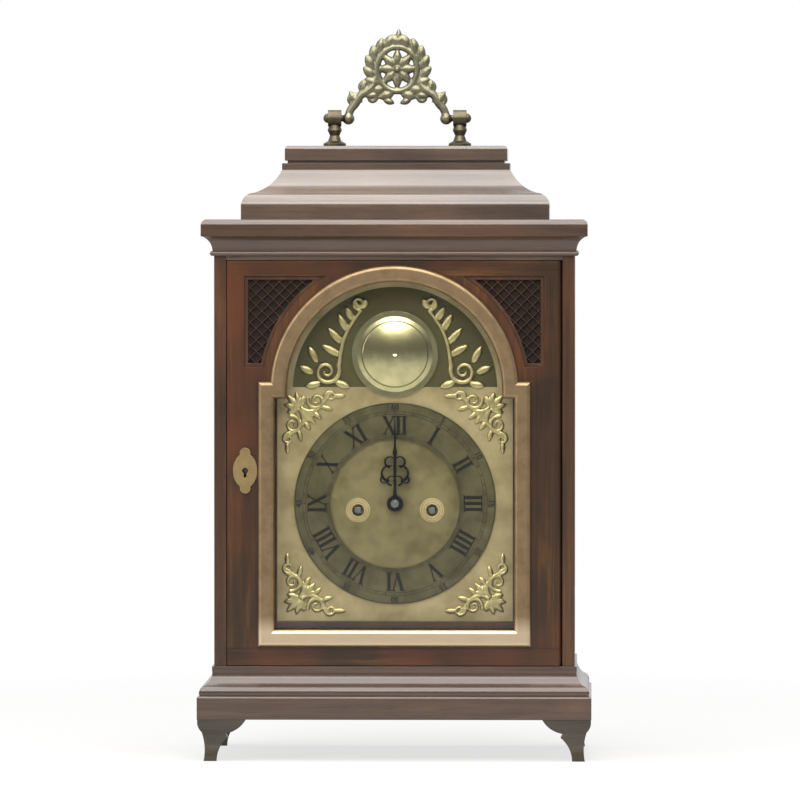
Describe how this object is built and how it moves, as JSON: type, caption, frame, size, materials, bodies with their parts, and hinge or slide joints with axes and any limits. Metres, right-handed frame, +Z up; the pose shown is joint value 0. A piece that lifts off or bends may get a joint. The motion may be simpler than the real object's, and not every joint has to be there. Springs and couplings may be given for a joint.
{
  "type": "bracket clock",
  "caption": "Mahogany bracket clock with an inverted bell top, carrying handle, break-arch brass dial and a twin-fusee striking movement.",
  "frame": {"origin": "on the table under the middle of the base", "axes": "+X to the clock's right as seen from the front, +Y to the back, +Z up; the dial faces -Y"},
  "size_m": [0.292, 0.1924, 0.545],
  "materials": {
    "mahogany": "french polished",
    "oak": "oiled",
    "lacquered_brass": "lacquered",
    "movement_brass": "fine grained",
    "dial_brass": "matted, dull gilt",
    "silvered_brass": "tarnished silvering",
    "blued_steel": "heat blued",
    "polished_steel": "polished",
    "bell_metal": "turned",
    "glass": "clear",
    "dark_silk": "dull",
    "gut": "waxed"
  },
  "bodies": {
    "case": {"bracket_feet": "mahogany", "base_frame": "oak", "base_moulding": "mahogany", "case_sides": "mahogany", "side_window_beads": "lacquered_brass", "side_glass": "glass", "top_frame": "mahogany", "cornice_moulding": "mahogany", "bell_top_mouldings": "mahogany", "bell_top_cap": "mahogany", "handle_posts": "lacquered_brass", "case_hinge_plates": "lacquered_brass", "dial_surround": "mahogany", "dial_plate": "dial_brass", "chapter_ring": "silvered_brass", "dial_spandrels": "dial_brass", "arch_boss": "lacquered_brass", "seat_board": "oak", "movement_plates": "movement_brass", "movement_pillars": "movement_brass", "back_cock": "movement_brass", "barrel_arbors": "polished_steel", "chime_bell": "bell_metal", "bell_stand": "movement_brass"},
    "front_door": {"front_door": "mahogany", "front_door_hinges": "lacquered_brass", "sight_moulding": "lacquered_brass", "front_glass": "glass", "glass_slips": "mahogany", "sound_frets": "mahogany", "fret_silk": "dark_silk", "escutcheon": "lacquered_brass", "front_lock": "movement_brass"},
    "front_bolt": {"front_lock_bolt": "polished_steel"},
    "rear_door": {"rear_door": "mahogany", "rear_door_hinges": "lacquered_brass", "rear_glass": "glass", "rear_lock": "movement_brass"},
    "rear_bolt": {"rear_lock_bolt": "polished_steel"},
    "handle": {"handle": "lacquered_brass"},
    "minute_hand": {"centre_arbor": "movement_brass", "minute_hand": "blued_steel"},
    "hour_hand": {"hour_wheel": "movement_brass", "hour_hand": "blued_steel"},
    "minute_wheel": {"minute_wheel": "movement_brass"},
    "going_great_wheel": {"going_great_wheel": "movement_brass"},
    "going_fusee": {"going_fusee": "movement_brass"},
    "going_barrel": {"going_barrel": "movement_brass"},
    "third_wheel": {"third_wheel": "movement_brass"},
    "escape_wheel": {"escape_wheel": "movement_brass"},
    "pallets": {"pallets": "polished_steel"},
    "pendulum": {"pendulum": "movement_brass"},
    "strike_great_wheel": {"strike_great_wheel": "movement_brass"},
    "strike_fusee": {"strike_fusee": "movement_brass"},
    "strike_barrel": {"strike_barrel": "movement_brass"},
    "pin_wheel": {"pin_wheel": "movement_brass"},
    "gathering_wheel": {"gathering_wheel": "movement_brass"},
    "warning_wheel": {"warning_wheel": "movement_brass"},
    "fly": {"fly": "movement_brass"},
    "hammer": {"hammer": "polished_steel"}
  },
  "joints": [
    {"name": "front_door_swing", "type": "hinge", "parent": "case", "child": "front_door", "pos_m": [0.12, -0.07975, 0.2205], "axis": [0, 0, 1], "range_deg": [0, 95]},
    {"name": "front_bolt_throw", "type": "slide", "parent": "front_door", "child": "front_bolt", "axis": [-1, 0, 0], "range_m": [0, 0.006]},
    {"name": "rear_door_swing", "type": "hinge", "parent": "case", "child": "rear_door", "pos_m": [0.12, 0.09225, 0.2205], "axis": [0, 0, -1], "range_deg": [0, 95]},
    {"name": "rear_bolt_throw", "type": "slide", "parent": "rear_door", "child": "rear_bolt", "axis": [-1, 0, 0], "range_m": [0, 0.006]},
    {"name": "handle_swing", "type": "hinge", "parent": "case", "child": "handle", "pos_m": [0, 0.00625, 0.477], "axis": [1, 0, 0], "range_deg": [-90, 90]},
    {"name": "minute_hand_turn", "type": "hinge", "parent": "case", "child": "minute_hand", "pos_m": [0, 0, 0.19], "axis": [0, 1, 0], "continuous": true},
    {"name": "hour_hand_turn", "type": "hinge", "parent": "case", "child": "hour_hand", "pos_m": [0, 0, 0.19], "axis": [0, 1, 0], "continuous": true},
    {"name": "minute_wheel_turn", "type": "hinge", "parent": "case", "child": "minute_wheel", "pos_m": [0, 0, 0.1684], "axis": [0, 1, 0], "continuous": true},
    {"name": "going_great_turn", "type": "hinge", "parent": "case", "child": "going_great_wheel", "pos_m": [0.0275, 0, 0.185], "axis": [0, 1, 0], "continuous": true},
    {"name": "third_wheel_turn", "type": "hinge", "parent": "case", "child": "third_wheel", "pos_m": [0.00915, 0, 0.20722], "axis": [0, 1, 0], "continuous": true},
    {"name": "escape_wheel_turn", "type": "hinge", "parent": "case", "child": "escape_wheel", "pos_m": [0.00041, 0, 0.22121], "axis": [0, 1, 0], "continuous": true},
    {"name": "going_winding", "type": "hinge", "parent": "going_great_wheel", "child": "going_fusee", "pos_m": [0.0275, 0, 0.185], "axis": [0, 1, 0], "continuous": true},
    {"name": "going_barrel_turn", "type": "hinge", "parent": "case", "child": "going_barrel", "pos_m": [0.05, 0, 0.15], "axis": [0, 1, 0], "continuous": true},
    {"name": "pendulum_swing", "type": "hinge", "parent": "case", "child": "pendulum", "pos_m": [0.00041, 0, 0.24123], "axis": [0, 1, 0], "range_deg": [-4, 4]},
    {"name": "pallet_rock", "type": "hinge", "parent": "case", "child": "pallets", "pos_m": [0.00041, 0, 0.24123], "axis": [0, 1, 0], "range_deg": [-4, 4]},
    {"name": "gathering_wheel_turn", "type": "hinge", "parent": "case", "child": "gathering_wheel", "pos_m": [-0.02652, 0, 0.22899], "axis": [0, 1, 0], "continuous": true},
    {"name": "strike_great_turn", "type": "hinge", "parent": "case", "child": "strike_great_wheel", "pos_m": [-0.0275, 0, 0.185], "axis": [0, 1, 0], "continuous": true},
    {"name": "pin_wheel_turn", "type": "hinge", "parent": "case", "child": "pin_wheel", "pos_m": [-0.03186, 0, 0.21256], "axis": [0, 1, 0], "continuous": true},
    {"name": "warning_wheel_turn", "type": "hinge", "parent": "case", "child": "warning_wheel", "pos_m": [-0.03543, 0, 0.23961], "axis": [0, 1, 0], "continuous": true},
    {"name": "fly_turn", "type": "hinge", "parent": "case", "child": "fly", "pos_m": [-0.02633, 0, 0.24724], "axis": [0, 1, 0], "continuous": true},
    {"name": "strike_winding", "type": "hinge", "parent": "strike_great_wheel", "child": "strike_fusee", "pos_m": [-0.0275, 0, 0.185], "axis": [0, 1, 0], "continuous": true},
    {"name": "strike_barrel_turn", "type": "hinge", "parent": "case", "child": "strike_barrel", "pos_m": [-0.05, 0, 0.15], "axis": [0, 1, 0], "continuous": true},
    {"name": "hammer_lift", "type": "hinge", "parent": "case", "child": "hammer", "pos_m": [-0.06, 0, 0.226], "axis": [0, -1, 0], "range_deg": [0, 10]}
  ],
  "couplings": [
    {"joint": "hour_hand_turn", "follows": "minute_hand_turn", "ratio": 0.083333},
    {"joint": "minute_wheel_turn", "follows": "minute_hand_turn", "ratio": -0.5},
    {"joint": "going_great_turn", "follows": "minute_hand_turn", "ratio": -0.125},
    {"joint": "third_wheel_turn", "follows": "minute_hand_turn", "ratio": -12},
    {"joint": "escape_wheel_turn", "follows": "minute_hand_turn", "ratio": 120},
    {"joint": "going_barrel_turn", "follows": "going_winding", "ratio": 0.575},
    {"joint": "pallet_rock", "follows": "pendulum_swing", "ratio": 1},
    {"joint": "pin_wheel_turn", "follows": "gathering_wheel_turn", "ratio": -0.14286},
    {"joint": "strike_great_turn", "follows": "gathering_wheel_turn", "ratio": 0.015873},
    {"joint": "warning_wheel_turn", "follows": "gathering_wheel_turn", "ratio": -6},
    {"joint": "fly_turn", "follows": "gathering_wheel_turn", "ratio": 30},
    {"joint": "strike_barrel_turn", "follows": "strike_winding", "ratio": 0.575}
  ]
}
